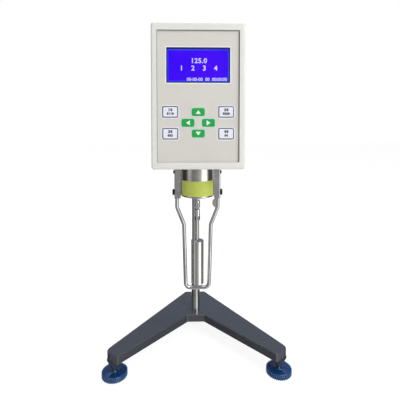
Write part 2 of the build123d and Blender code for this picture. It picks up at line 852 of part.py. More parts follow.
with BuildPart() as upper_plate:
    with BuildSketch(flat(upper_plate_bottom, y=rotor_y)):
        RectangleRounded(2 * plate_half_x, 2 * plate_half_y, 3)
        Circle(2 * motor_shaft_radius, mode=Mode.SUBTRACT)
    extrude(amount=plate_thick)
write(upper_plate, "upper_plate")

with BuildPart() as frame_posts:
    with BuildSketch(flat(plate_top, y=rotor_y)):
        with Locations(shaft_places):
            Circle(post_radius)
    extrude(amount=upper_plate_bottom - plate_top)
write(frame_posts, "frame_posts")

with BuildPart() as motor:
    with BuildSketch(flat(upper_plate_top, y=rotor_y)):
        Circle(motor_radius)
    extrude(amount=motor_height)
    fillet(motor.edges().sort_by(Axis.Z)[-1], 2)
    with BuildSketch(flat(upper_plate_top, y=rotor_y)):
        Circle(motor_shaft_radius + running_gap)
    extrude(amount=motor_shaft_rise + free_gap, mode=Mode.SUBTRACT)
write(motor, "motor")

with BuildPart() as lower_bearing:
    with BuildSketch(flat(plate_top, y=rotor_y)):
        Circle(bearing_flange_radius)
    extrude(amount=bearing_flange_thick)
    with BuildSketch(flat(bearing_bottom, y=rotor_y)):
        Circle(bearing_radius)
    extrude(amount=plate_top - bearing_bottom)
    with BuildSketch(flat(bearing_bottom, y=rotor_y)):
        Circle(shaft_radius + running_gap)
    extrude(amount=plate_top + bearing_flange_thick - bearing_bottom, mode=Mode.SUBTRACT)
    with BuildSketch(flat(bearing_bottom + bearing_seat, y=rotor_y)):
        Circle(bearing_radius / 2)
    extrude(amount=plate_top - bearing_bottom - 2 * bearing_seat, mode=Mode.SUBTRACT)
write(lower_bearing, "lower_bearing")

# Drive: motor shaft, slotted drive disc and the hairspring that hangs from it
with BuildPart() as motor_shaft:
    with BuildSketch(flat(drive_disc_z, y=rotor_y)):
        Circle(motor_shaft_radius)
    extrude(amount=upper_plate_top + motor_shaft_rise - drive_disc_z)
write(motor_shaft, "motor_shaft")

spring_inner = collet_radius + free_gap + spring_thick / 2
spring_outer = spring_inner + spring_turns * spring_pitch
anchor_x = spring_outer + spring_thick / 2 + anchor_radius
slot_reach = disc_radius - disc_slot_length / 2
slot_turn = 180 / disc_slots

with BuildPart() as drive_disc:
    with BuildSketch(flat(drive_disc_z, y=rotor_y)):
        Circle(disc_radius)
        with PolarLocations(slot_reach, disc_slots, start_angle=slot_turn):
            Rectangle(disc_slot_length + 1, disc_slot_width, mode=Mode.SUBTRACT)
    extrude(amount=disc_thick)
    with BuildSketch(flat(drive_disc_z - disc_hub_height, y=rotor_y)):
        Circle(hub_radius)
    extrude(amount=2 * disc_hub_height)
    with BuildSketch(flat(spring_z, anchor_x, rotor_y)):
        Circle(anchor_radius)
    extrude(amount=drive_disc_z - spring_z)
    with BuildSketch(flat(drive_disc_z, y=rotor_y)):
        Circle(motor_shaft_radius)
    extrude(amount=disc_hub_height, mode=Mode.SUBTRACT)
    with BuildSketch(flat(drive_disc_z - disc_hub_height, y=rotor_y)):
        Circle(pivot_radius + running_gap)
    extrude(amount=pivot_top + free_gap - drive_disc_z + disc_hub_height, mode=Mode.SUBTRACT)
write(drive_disc, "drive_disc")

with BuildPart() as hairspring:
    with BuildSketch(flat(spring_z, y=rotor_y)):
        with BuildLine():
            for turn in range(spring_turns):
                start = spring_inner + turn * spring_pitch
                CenterArc((0, 0), start, 0, 180)
                CenterArc((spring_pitch / 2, 0), start + spring_pitch / 2, 180, 180)
        trace(line_width=spring_thick)
    extrude(amount=spring_height)
write(hairspring, "hairspring")

# Measuring shaft with the slotted sensing disc and the collet inside the hairspring
fork_top = upper_fork_bottom + fork_height
upper_pin_z = upper_fork_bottom + link_pin_inset
lower_pin_z = lower_fork_top - link_pin_inset
with BuildPart() as measuring_shaft:
    with BuildSketch(flat(upper_fork_bottom, y=rotor_y)):
        Circle(fork_radius)
    extrude(amount=fork_height)
    with BuildSketch(flat(upper_fork_bottom, y=rotor_y)):
        Rectangle(fork_slot, 2 * fork_radius)
    extrude(amount=fork_slot_depth, mode=Mode.SUBTRACT)
    with BuildSketch(side(-fork_radius, rotor_y, upper_pin_z)):
        Circle(link_pin_radius + running_gap)
    extrude(amount=2 * fork_radius, mode=Mode.SUBTRACT)
    with BuildSketch(flat(fork_top, y=rotor_y)):
        Circle(shaft_radius)
    extrude(amount=pivot_shoulder - fork_top)
    with BuildSketch(flat(pivot_shoulder, y=rotor_y)):
        Circle(pivot_radius)
    extrude(amount=pivot_top - pivot_shoulder)
write(measuring_shaft, "measuring_shaft")

with BuildPart() as sensing_disc:
    with BuildSketch(flat(sensing_disc_z, y=rotor_y)):
        Circle(disc_radius)
        with PolarLocations(slot_reach, disc_slots, start_angle=slot_turn):
            Rectangle(disc_slot_length + 1, disc_slot_width, mode=Mode.SUBTRACT)
    extrude(amount=disc_thick)
    with BuildSketch(flat(sensing_disc_z - disc_hub_height / 2, y=rotor_y)):
        Circle(hub_radius)
    extrude(amount=disc_hub_height)
    with BuildSketch(flat(sensing_disc_z, y=rotor_y)):
        Circle(collet_radius)
    extrude(amount=collet_top - sensing_disc_z)
    with BuildSketch(flat(sensing_disc_z - disc_hub_height, y=rotor_y)):
        Circle(shaft_radius)
    extrude(amount=collet_top - sensing_disc_z + disc_hub_height, mode=Mode.SUBTRACT)
write(sensing_disc, "sensing_disc")

# Optical forks round the rims of the two discs, one stood on each plate
sensor_x = disc_radius - disc_slot_length / 2 + sensor_depth / 2
pillar_x = sensor_x + sensor_depth / 4
lower_sensor_z = sensing_disc_z + disc_thick / 2
upper_sensor_z = drive_disc_z + disc_thick / 2
with BuildPart() as sensor_forks:
    with BuildSketch(front(rotor_y - sensor_half_width, sensor_x)):
        with Locations((0, lower_sensor_z), (0, upper_sensor_z)):
            Rectangle(sensor_depth, sensor_height)
        with Locations((-sensor_depth / 3, lower_sensor_z), (-sensor_depth / 3, upper_sensor_z)):
            Rectangle(sensor_depth, sensor_slot, mode=Mode.SUBTRACT)
    extrude(amount=-2 * sensor_half_width)
    with BuildSketch(flat(plate_top, pillar_x, rotor_y)):
        Rectangle(sensor_depth / 2, sensor_half_width)
    extrude(amount=lower_sensor_z - sensor_height / 2 - plate_top)
    with BuildSketch(flat(upper_sensor_z + sensor_height / 2, pillar_x, rotor_y)):
        Rectangle(sensor_depth / 2, sensor_half_width)
    extrude(amount=upper_plate_bottom - upper_sensor_z - sensor_height / 2)
write(sensor_forks, "sensor_forks")

# Polished collar under the head, with the bare band round its front
with BuildPart() as collar:
    with BuildSketch(side(0, rotor_y)):
        with BuildLine():
            Polyline(
                (cone_hole_radius, cone_bottom),
                (0.7 * cone_radius, cone_bottom),
                (cone_radius, collar_bottom),
                (collar_radius - 1, collar_bottom),
                (collar_radius, collar_bottom + 1),
                (collar_radius, head_bottom),
                (collar_radius - collar_wall, head_bottom),
                (collar_radius - collar_wall, collar_bottom + collar_wall),
                (cone_hole_radius, collar_bottom + collar_wall),
                close=True,
            )
        make_face()
    revolve(axis=Axis((0, rotor_y, 0), (0, 0, 1)))
    with BuildSketch(side(-collar_radius, rotor_y, clip_screw_z)):
        Circle(clip_screw_radius)
    extrude(amount=2 * collar_radius, mode=Mode.SUBTRACT)
write(collar, "collar")

band_start = -90 - band_half_angle
band_radius = collar_radius + band_thick
with BuildPart() as collar_band:
    with BuildSketch(flat(band_bottom, y=rotor_y)):
        with BuildLine():
            outer_arc = CenterArc((0, 0), band_radius, band_start, 2 * band_half_angle)
            inner_arc = CenterArc((0, 0), collar_radius, band_start, 2 * band_half_angle)
            Line(outer_arc @ 0, inner_arc @ 0)
            Line(outer_arc @ 1, inner_arc @ 1)
        make_face()
    extrude(amount=band_top - band_bottom)
write(collar_band, "collar_band")

# Clips on the sides of the collar, bored from below for the ends of the guard rod
with BuildPart() as guard_clips:
    with BuildSketch(flat(clip_bottom, y=rotor_y)):
        with Locations((collar_radius, 0)):
            RectangleRounded(2 * (clip_outer_x - collar_radius), 2 * clip_half_depth, clip_corner_radius)
        Circle(collar_radius, mode=Mode.SUBTRACT)
        with Locations((guard_top_x, -clip_half_depth)):
            Rectangle(clip_groove_width, 2 * clip_groove_depth, mode=Mode.SUBTRACT)
        with Locations((collar_radius, clip_half_depth), (collar_radius, -clip_half_depth)):
            Rectangle(2 * clip_neck, 2 * (clip_half_depth - clip_neck_half_depth), mode=Mode.SUBTRACT)
    extrude(amount=clip_top - clip_bottom)
    with BuildSketch(flat(clip_bottom, guard_top_x, rotor_y)):
        Circle(guard_rod_radius)
    extrude(amount=guard_end_z - clip_bottom, mode=Mode.SUBTRACT)
    with BuildSketch(side(collar_radius - collar_wall, rotor_y)):
        with Locations((0, clip_screw_z)):
            Circle(clip_screw_radius)
    extrude(amount=clip_outer_x - collar_radius + collar_wall, mode=Mode.SUBTRACT)
    with BuildSketch(side(guard_top_x, rotor_y)):
        with Locations((0, guard_screw_z)):
            Circle(guard_screw_radius + running_gap)
    extrude(amount=clip_outer_x - guard_top_x, mode=Mode.SUBTRACT)
    mirror(about=Plane.YZ)
write(guard_clips, "guard_clips")

with BuildPart() as clip_screws:
    with BuildSketch(side(clip_outer_x, rotor_y, clip_screw_z)):
        Circle(clip_screw_head_radius)
    extrude(amount=clip_screw_head)
    with BuildSketch(side(clip_outer_x, rotor_y, clip_screw_z)):
        Circle(clip_screw_radius)
    extrude(amount=collar_radius - collar_wall - clip_outer_x)
    mirror(about=Plane.YZ)
write(clip_screws, "clip_screws")

guard_screw_tip = guard_top_x + guard_rod_radius + free_gap
for screw_name, hand in {"left": -1, "right": 1}.items():
    with BuildPart() as guard_screw:
        with BuildSketch(side(hand * (clip_outer_x + free_gap), rotor_y, guard_screw_z)):
            Circle(guard_screw_head_radius)
        extrude(amount=hand * guard_screw_head)
        with BuildSketch(side(hand * guard_screw_tip, rotor_y, guard_screw_z)):
            Circle(guard_screw_radius)
        extrude(amount=hand * (clip_outer_x + free_gap - guard_screw_tip))
    write(guard_screw, f"{screw_name}_guard_screw")

# Guard: one polished rod bent round the rotor, with a thumb pad inside its right leg
guard_half = [
    (guard_top_x, guard_end_z),
    (guard_top_x, guard_knee_z),
    (guard_waist_x, guard_waist_z),
    (guard_foot_x, guard_bar_z),
]
guard_points = [(-x, z) for x, z in guard_half] + list(reversed(guard_half))
guard_bends = [guard_bend_radius, guard_bend_radius, guard_corner_radius]
with BuildPart() as guard_frame:
    with BuildLine(front(rotor_y)):
        FilletPolyline(*guard_points, radius=guard_bends + list(reversed(guard_bends)))
    with BuildSketch(flat(guard_end_z, -guard_top_x, rotor_y)):
        Circle(guard_rod_radius)
    sweep()
    pad_top = clip_bottom - 2 * free_gap
    pad_tip_x = guard_top_x - guard_rod_radius - thumb_pad_reach
    with BuildSketch(front(rotor_y - thumb_pad_thick / 2)):
        with BuildLine():
            ThreePointArc(
                (guard_top_x, pad_top),
                (pad_tip_x, pad_top - thumb_pad_height / 2),
                (guard_top_x, pad_top - thumb_pad_height),
            )
            Line((guard_top_x, pad_top - thumb_pad_height), (guard_top_x, pad_top))
        make_face()
    extrude(amount=-thumb_pad_thick)
write(guard_frame, "guard_frame")

# Universal joint link, with one cross pin in each fork, and the rotor that hangs from it
with BuildPart() as joint_link:
    with BuildSketch(flat(lower_pin_z - link_end, y=rotor_y)):
        Rectangle(link_width, link_width)
    extrude(amount=upper_pin_z - lower_pin_z + 2 * link_end)
    with BuildSketch(side(free_gap - fork_radius, rotor_y, upper_pin_z)):
        Circle(link_pin_radius)
    extrude(amount=2 * (fork_radius - free_gap))
    with BuildSketch(front(rotor_y + fork_radius - free_gap, 0, lower_pin_z)):
        Circle(link_pin_radius)
    extrude(amount=2 * (fork_radius - free_gap))
write(joint_link, "joint_link")

with BuildPart() as rotor:
    with BuildSketch(flat(lower_fork_bottom, y=rotor_y)):
        Circle(fork_radius)
    extrude(amount=fork_height)
    with BuildSketch(flat(lower_fork_top - fork_slot_depth, y=rotor_y)):
        Rectangle(2 * fork_radius, fork_slot)
    extrude(amount=fork_slot_depth, mode=Mode.SUBTRACT)
    with BuildSketch(front(rotor_y + fork_radius, 0, lower_pin_z)):
        Circle(link_pin_radius + running_gap)
    extrude(amount=2 * fork_radius, mode=Mode.SUBTRACT)
    with BuildSketch(flat(nut_bottom, y=rotor_y)):
        RegularPolygon(fork_radius, 6)
    extrude(amount=rotor_nut_height)
    with BuildSketch(flat(rotor_top, y=rotor_y)):
        Circle(rotor_rod_radius)
    extrude(amount=nut_bottom - rotor_top)
    with BuildSketch(flat(rotor_top - rotor_length, y=rotor_y)):
        Circle(rotor_radius)
    extrude(amount=rotor_length)
    fillet(rotor.edges().filter_by(GeomType.CIRCLE).sort_by(Axis.Z)[0], rotor_edge_radius)
write(rotor, "rotor")
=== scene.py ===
import json
import math

import bmesh
import bpy
from mathutils import Matrix, Vector


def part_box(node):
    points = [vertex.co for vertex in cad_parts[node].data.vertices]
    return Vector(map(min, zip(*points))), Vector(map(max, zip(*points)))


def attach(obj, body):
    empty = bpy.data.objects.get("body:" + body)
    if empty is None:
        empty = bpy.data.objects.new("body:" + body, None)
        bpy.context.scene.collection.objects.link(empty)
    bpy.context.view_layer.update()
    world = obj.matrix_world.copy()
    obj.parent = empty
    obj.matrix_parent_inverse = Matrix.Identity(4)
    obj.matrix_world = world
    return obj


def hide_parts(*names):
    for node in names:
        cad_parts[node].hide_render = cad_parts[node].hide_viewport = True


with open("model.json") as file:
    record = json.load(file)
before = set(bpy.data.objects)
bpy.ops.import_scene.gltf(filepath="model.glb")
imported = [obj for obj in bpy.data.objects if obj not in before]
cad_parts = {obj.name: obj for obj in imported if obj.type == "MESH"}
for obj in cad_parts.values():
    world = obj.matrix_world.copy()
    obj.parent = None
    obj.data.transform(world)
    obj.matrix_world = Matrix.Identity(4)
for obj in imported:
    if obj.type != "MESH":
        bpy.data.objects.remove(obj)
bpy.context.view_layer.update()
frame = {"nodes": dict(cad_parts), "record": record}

# Rotational viscometer: finishes for every piece, display, printed marks, knob ribs, screw heads.
# Metres, +Z up, the display faces -Y.

MM = 0.001


# Shader maths
class Wave:
    """One socket of a shader tree, with the arithmetic that the finishes use."""

    def __init__(self, finish, socket):
        self.finish = finish
        self.socket = socket

    def math(self, operation, other=None, third=None):
        values = {0: self}
        if other is not None:
            values[1] = other
        if third is not None:
            values[2] = third
        return self.finish.node("ShaderNodeMath", {"operation": operation}, values)

    def __add__(self, other):
        return self.math("ADD", other)

    __radd__ = __add__

    def __mul__(self, other):
        return self.math("MULTIPLY", other)

    __rmul__ = __mul__

    def __sub__(self, other):
        return self.math("SUBTRACT", other)

    def __rsub__(self, other):
        return (self * -1.0) + other

    def __truediv__(self, other):
        return self.math("DIVIDE", other)

    def smooth(self, low, high):
        settings = {"interpolation_type": "SMOOTHSTEP"}
        return self.finish.node("ShaderNodeMapRange", settings, {0: self, 1: low, 2: high})


class Tree:
    """A node tree with one way to add any node."""

    def __init__(self, tree):
        self.tree = tree

    def node(self, kind, settings, values, out=0):
        made = self.tree.nodes.new(kind)
        for key, value in settings.items():
            setattr(made, key, value)
        for key, value in values.items():
            if isinstance(value, Wave):
                self.tree.links.new(value.socket, made.inputs[key])
            else:
                made.inputs[key].default_value = value
        return Wave(self, made.outputs[out])

    def blend(self, factor, first, second):
        settings = {"data_type": "RGBA", "clamp_factor": True}
        values = {0: factor, 6: opaque(first), 7: opaque(second)}
        return self.node("ShaderNodeMix", settings, values, 2)


class Finish(Tree):
    """One material, built from named steps."""

    def __init__(self, name):
        self.material = bpy.data.materials.new(name)
        self.material.use_nodes = True
        super().__init__(self.material.node_tree)
        self.tree.nodes.clear()
        self.output = self.tree.nodes.new("ShaderNodeOutputMaterial")
        self.place = self.node("ShaderNodeTexCoord", {}, {}, "Object")

    def stretched(self, x, y, z):
        """Object coordinates stretched along the axes, for brushed and streaky finishes."""
        return self.node("ShaderNodeVectorMath", {"operation": "MULTIPLY"},
                         {0: self.place, 1: (x, y, z)})

    def noise(self, scale, detail=3.0, roughness=0.55, place=None):
        values = {"Vector": place or self.place, "Scale": scale, "Detail": detail,
                  "Roughness": roughness}
        return self.node("ShaderNodeTexNoise", {}, values, "Fac")

    def cells(self, scale):
        values = {"Vector": self.place, "Scale": scale}
        return self.node("ShaderNodeTexVoronoi", {}, values, "Distance")

    def bump(self, height, strength, distance):
        values = {"Strength": strength, "Distance": distance, "Height": height}
        return self.node("ShaderNodeBump", {}, values, "Normal")

    def surface(self, **values):
        """Principled shader with the given sockets, joined to the output."""
        named = {key.replace("_", " "): value for key, value in values.items()}
        for key in ("Base Color", "Emission Color"):
            if key in named:
                named[key] = opaque(named[key])
        shader = self.node("ShaderNodeBsdfPrincipled", {}, named, "BSDF")
        self.tree.links.new(shader.socket, self.output.inputs["Surface"])
        return self.material


def opaque(colour):
    """A colour as four values, or the link that already carries one."""
    return colour if isinstance(colour, Wave) else (*colour[:3], 1.0)


def linear(red, green, blue):
    """Linear colour of a shade given in 0 to 255 display values."""
    def one(value):
        share = value / 255
        return share / 12.92 if share <= 0.04045 else ((share + 0.055) / 1.055) ** 2.4
    return (one(red), one(green), one(blue))


def darker(colour, share):
    return tuple(part * share for part in colour)


# Finishes
def moulded(name, colour, roughness, grain=0.25, coat=0.0, mottle=0.92):
    """Moulded or printed plastic: fine grain, a little uneven in shade and gloss."""
    finish = Finish(name)
    shade = finish.noise(35.0, 4.0)
    smear = finish.noise(9.0, 2.0)
    fine = finish.noise(2600.0, 2.0)
    colour_out = finish.blend(shade, darker(colour, mottle), colour)
    return finish.surface(
        Base_Color=colour_out,
        Roughness=smear * 0.12 + (roughness - 0.06),
        Coat_Weight=coat,
        Coat_Roughness=0.08,
        Normal=finish.bump(fine, grain, 0.00005),
    )


def enamel(name, colour, roughness, coat, peel=0.35):
    """Stoved enamel on a casting: orange peel, faint cast waviness, dust and rubbed patches."""
    finish = Finish(name)
    patches = finish.noise(14.0, 5.0)
    rubbed = finish.noise(60.0, 6.0, 0.7)
    skin = finish.noise(420.0, 2.0) + finish.noise(45.0, 2.0) * 0.6
    worn = rubbed.smooth(0.62, 0.85)
    body = finish.blend(patches, darker(colour, 0.84), colour)
    body = finish.blend(worn * 0.35, body, tuple(part * 1.5 + 0.02 for part in colour))
    return finish.surface(
        Base_Color=body,
        Roughness=patches * 0.14 + worn * 0.18 + (roughness - 0.07),
        Coat_Weight=coat,
        Coat_Roughness=0.1,
        Normal=finish.bump(skin, peel, 0.00012),
    )


def metal(name, colour, roughness, streaks=(1.0, 1.0, 1.0), scratch=0.15, tarnish=0.85):
    """Turned, drawn or polished metal: streaks along one direction, fine scratches, light tarnish."""
    finish = Finish(name)
    drawn = finish.noise(900.0, 3.0, 0.6, finish.stretched(*streaks))
    cloud = finish.noise(40.0, 4.0)
    marks = finish.cells(700.0)
    colour_out = finish.blend(cloud.smooth(0.35, 0.75), colour, darker(colour, tarnish))
    return finish.surface(
        Base_Color=colour_out,
        Metallic=1.0,
        Roughness=drawn * 0.1 + cloud * 0.06 + (roughness - 0.06),
        Normal=finish.bump(drawn + marks * 0.3, scratch, 0.00004),
    )


def clear(name, tint, alpha):
    """Clear moulded cover: almost all light passes, with faint rubbing marks in its gloss."""
    finish = Finish(name)
    rub = finish.noise(90.0, 5.0, 0.7, finish.stretched(1.0, 1.0, 3.0))
    return finish.surface(
        Base_Color=tint,
        Roughness=rub * 0.08 + 0.03,
        Alpha=rub * 0.02 + alpha,
        Specular_IOR_Level=0.15,
        Normal=finish.bump(rub, 0.05, 0.0001),
    )


def lit(name, colour, glow, strength):
    """Lit face of the display, brighter in soft cloudy patches, with a fine dot pattern."""
    finish = Finish(name)
    cloud = finish.noise(22.0, 2.0)
    dots = finish.cells(1500.0)
    shade = finish.blend(cloud.smooth(0.3, 0.75), colour, glow)
    return finish.surface(
        Base_Color=(0.002, 0.002, 0.004),
        Roughness=dots * 0.2 + 0.4,
        Specular_IOR_Level=0.05,
        Emission_Color=shade,
        Emission_Strength=strength,
    )


def printed(name, colour, roughness=0.45):
    """Screen-printed ink, a little uneven in density."""
    finish = Finish(name)
    density = finish.noise(300.0, 3.0)
    return finish.surface(
        Base_Color=finish.blend(density, darker(colour, 0.88), colour),
        Roughness=density * 0.1 + roughness,
        Normal=finish.bump(density, 0.1, 0.00003),
    )


steel = (0.72, 0.71, 0.69)
FINISHES = {
    "slate_enamel": enamel("slate enamel", linear(66, 68, 76), 0.26, 0.7, 0.08),
    "polished_rod": metal("polished rod", (0.66, 0.64, 0.61), 0.12, (1.0, 1.0, 0.03), 0.04),
    "zinc_steel": metal("zinc steel", (0.62, 0.63, 0.64), 0.34, (1.0, 1.0, 1.0)),
    "grey_enamel": enamel("grey enamel", linear(150, 152, 152), 0.42, 0.2),
    "brass": metal("turned brass", (0.78, 0.58, 0.26), 0.28, (1.0, 1.0, 8.0)),
    "bright_steel": metal("bright steel", steel, 0.24, (1.0, 1.0, 6.0)),
    "black_steel": metal("blackened steel", (0.05, 0.05, 0.055), 0.32, (1.0, 1.0, 1.0), 0.3),
    "black_plastic": moulded("black plastic", (0.022, 0.022, 0.024), 0.45, 0.35),
    "shell_grey": moulded("shell grey", linear(214, 214, 208), 0.5, 0.4),
    "bezel_white": moulded("bezel white", linear(226, 227, 221), 0.42, 0.2, 0.1),
    "panel_grey": moulded("panel film", linear(213, 210, 204), 0.5, 0.3),
    "window_clear": clear("window clear", (0.02, 0.02, 0.06), 0.02),
    "display_blue": moulded("display frame", (0.005, 0.01, 0.1), 0.4, 0.2),
    "board_green": moulded("circuit board", (0.02, 0.14, 0.05), 0.35, 0.3, 0.3),
    "motor_steel": enamel("motor can", (0.2, 0.2, 0.21), 0.4, 0.1),
    "plate_aluminium": metal("milled aluminium", (0.8, 0.8, 0.81), 0.36, (0.05, 1.0, 1.0)),
    "mirror_steel": metal("mirror steel", (0.70, 0.69, 0.67), 0.08, (1.0, 1.0, 0.05), 0.02, 0.7),
    "band_yellow": printed("band yellow", linear(190, 200, 88), 0.4),
    "rotor_steel": metal("rotor steel", (0.80, 0.79, 0.77), 0.10, (1.0, 1.0, 9.0), 0.03),
    "key_white": moulded("key white", linear(234, 236, 248), 0.38, 0.15, 0.2),
    "key_green": moulded("key green", linear(0, 168, 72), 0.36, 0.15, 0.25),
    "knob_blue": moulded("knob blue", linear(6, 58, 112), 0.16, 0.1, 0.5, 0.8),
    "pad_rubber": moulded("pad rubber", (0.02, 0.02, 0.02), 0.75, 0.6),
}
slot_of = {entry["node"]: entry["material_slot"] for entry in frame["record"]["subparts"]}
for node_name, slot_name in slot_of.items():
    node_mesh = frame["nodes"][node_name].data
    node_mesh.materials.clear()
    node_mesh.materials.append(FINISHES[slot_name])

ink_white = printed("ink white", linear(250, 250, 250))
ink_dark = printed("ink dark", linear(20, 16, 40))
ink_outline = printed("ink outline", linear(44, 38, 76))
# Painted shade: dark ink for the shadow that the panel's recess casts along its top and sides
painted_recess_shade_ink = printed("recess gap", linear(92, 90, 86))
ink_halo = printed("ink halo", linear(170, 232, 196))
# Painted highlight: the ribs get a lighter blue than the knob body, for the light they catch
rib_blue_painted_highlight = moulded("knob rib", linear(44, 98, 152), 0.2, 0.1, 0.5, 0.85)


# Mesh helpers
def piece_from(name, build, finish, body, smooth=None):
    """A finished piece whose mesh is filled in by build(bm)."""
    bm = bmesh.new()
    build(bm)
    bmesh.ops.recalc_face_normals(bm, faces=bm.faces)
    mesh = bpy.data.meshes.new(name)
    bm.to_mesh(mesh)
    bm.free()
    made = bpy.data.objects.new(name, mesh)
    bpy.context.scene.collection.objects.link(made)
    mesh.materials.append(finish)
    if smooth is not None:
        mesh.shade_smooth()
        mesh.set_sharp_from_angle(angle=math.radians(smooth))
    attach(made, body)
    return made


def rounded_outline(width, height, radius, steps=6):
    """Points of a rounded rectangle round the origin, counter-clockwise."""
    points = []
    for corner in range(4):
        centre_x = (width / 2 - radius) * (1 if corner in (0, 3) else -1)
        centre_y = (height / 2 - radius) * (1 if corner in (0, 1) else -1)
        for step in range(steps + 1):
            turn = math.pi / 2 * (corner + step / steps)
            points.append((centre_x + radius * math.cos(turn), centre_y + radius * math.sin(turn)))
    return points


def slab(bm, outline, front_y, depth, centre_x, centre_z):
    """Solid plate from an outline in X and Z, from front_y back by depth."""
    front_ring = [bm.verts.new((centre_x + x, front_y, centre_z + z)) for x, z in outline]
    back_ring = [bm.verts.new((centre_x + x, front_y + depth, centre_z + z)) for x, z in outline]
    bm.faces.new(front_ring)
    bm.faces.new(list(reversed(back_ring)))
    for at, start in enumerate(front_ring):
        following = (at + 1) % len(front_ring)
        bm.faces.new((start, back_ring[at], back_ring[following], front_ring[following]))


def ring_slab(bm, outer, inner, front_y, depth, centre_x, centre_z):
    """Plate with a hole: two outlines with the same number of points."""
    rings = []
    back_y = front_y + depth
    for outline, y in ((outer, front_y), (inner, front_y), (inner, back_y), (outer, back_y)):
        rings.append([bm.verts.new((centre_x + x, y, centre_z + z)) for x, z in outline])
    for at in range(4):
        for point in range(len(outer)):
            following = (point + 1) % len(outer)
            bm.faces.new((rings[at][point], rings[at][following],
                          rings[(at + 1) % 4][following], rings[(at + 1) % 4][point]))


def lathe(bm, profile, centre_x, centre_y, segments=96):
    """Closed turned form round a vertical axis; the profile runs from axis to axis."""
    rings = []
    for radius, z in profile:
        if radius == 0:
            rings.append([bm.verts.new((centre_x, centre_y, z))])
            continue
        ring = []
        for step in range(segments):
            turn = 2 * math.pi * step / segments
            place = (centre_x + radius * math.cos(turn), centre_y + radius * math.sin(turn), z)
            ring.append(bm.verts.new(place))
        rings.append(ring)
    for low, high in zip(rings, rings[1:]):
        for step in range(segments):
            following = (step + 1) % segments
            corners = [low[step % len(low)], low[following % len(low)],
                       high[following % len(high)], high[step % len(high)]]
            kept = list(dict.fromkeys(corners))
            bm.faces.new(kept)


def plain_mesh(holder):
    """Mesh of an object as it is evaluated; the object itself goes."""
    bpy.context.view_layer.update()
    graph = bpy.context.evaluated_depsgraph_get()
    mesh = bpy.data.meshes.new_from_object(holder.evaluated_get(graph))
    bpy.data.objects.remove(holder)
    return mesh


def words(name, text, height, finish, body, centre_x, front_y, centre_z, depth,
          spacing=1.0, weight=0.0):
    """Raised digits that face the viewer, centred on a point; weight thickens their strokes."""
    curve = bpy.data.curves.new(name, "FONT")
    curve.body = text
    curve.size = height * 1.4
    curve.align_x = "CENTER"
    curve.align_y = "CENTER"
    curve.space_character = spacing
    curve.extrude = depth / 2
    curve.offset = weight
    curve.resolution_u = 3
    holder = bpy.data.objects.new(name, curve)
    bpy.context.scene.collection.objects.link(holder)
    mesh = plain_mesh(holder)
    middle = Matrix.Translation((centre_x, front_y + depth / 2, centre_z))
    mesh.transform(middle @ Matrix.Rotation(math.pi / 2, 4, "X"))
    mesh.materials.clear()
    mesh.materials.append(finish)
    made = bpy.data.objects.new(name, mesh)
    bpy.context.scene.collection.objects.link(made)
    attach(made, body)
    return made


# Display: pane, dark frame painted as the bezel's shade, bright inner line, lit field and its digits
window_low, window_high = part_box("display_window")
window_mid = (window_low + window_high) / 2
window_wide = window_high.x - window_low.x
window_tall = window_high.z - window_low.z
panel_low, panel_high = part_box("front_panel")
print_depth = 0.06 * MM
print_seat = 0.02 * MM
panel_print_y = panel_low.y - print_depth

lit_field = lit("display field", linear(60, 0, 250), linear(74, 4, 255), 1.0)
lit_line = lit("display line", linear(34, 70, 255), linear(50, 90, 255), 1.0)
lit_mark = lit("display mark", linear(214, 208, 255), linear(232, 228, 255), 1.0)
# Painted shade: dark navy for the shadow that the window's bezel casts round the lit field
painted_bezel_shade = moulded("display border", linear(16, 12, 110), 0.35, 0.1)


def panel_plate(name, wide, tall, radius, front_y, depth, finish, at_z):
    """Flat plate with rounded corners in the window, which faces the viewer and rides on the head."""
    outline = rounded_outline(wide, tall, radius)
    build = lambda bm: slab(bm, outline, front_y, depth, window_mid.x, at_z)
    return piece_from(name, build, finish, "head")


def printed_ring(name, size, band, radius, front_y, finish, body, centre):
    """Printed line round a rounded rectangle; band is its width outwards from size."""
    outer = rounded_outline(size[0] + 2 * band, size[1] + 2 * band, radius + band)
    inner = rounded_outline(size[0], size[1], radius)
    depth = print_depth + print_seat
    build = lambda bm: ring_slab(bm, outer, inner, front_y, depth, centre.x, centre.z)
    return piece_from(name, build, finish, body)


pane_depth = 0.8 * MM
pane = panel_plate("display_pane", window_wide, window_tall, 0.4 * MM, window_low.y, pane_depth,
                   FINISHES["window_clear"], window_mid.z)
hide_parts("display_window")

# Behind the pane each layer starts a little further back than the one before it
face_y = window_low.y + pane_depth + 0.1 * MM
layer_depth = 0.04 * MM
mark_y = face_y - 0.02 * MM
field_y = face_y + 0.02 * MM
line_y = face_y + 0.06 * MM
rim_y = face_y + 0.1 * MM
rim_depth = window_high.y - rim_y
side_rim = 1.5 * MM
top_rim = 2.5 * MM
line_width = 1.3 * MM
lit_wide = window_wide - 2 * side_rim
lit_tall = window_tall - side_rim - top_rim
lit_z = window_mid.z - (top_rim - side_rim) / 2
# Painted shade: a dark plate round the lit field, wider at the top, where the bezel's shadow falls
panel_plate("display_rim_painted_shade", window_wide, window_tall, 0.3 * MM, rim_y, rim_depth,
            painted_bezel_shade, window_mid.z)
panel_plate("display_line", lit_wide, lit_tall, 0.2 * MM, line_y, layer_depth,
            lit_line, lit_z)
panel_plate("display_field", lit_wide - 2 * line_width, lit_tall - 2 * line_width, 0.2 * MM,
            field_y, layer_depth, lit_field, lit_z)

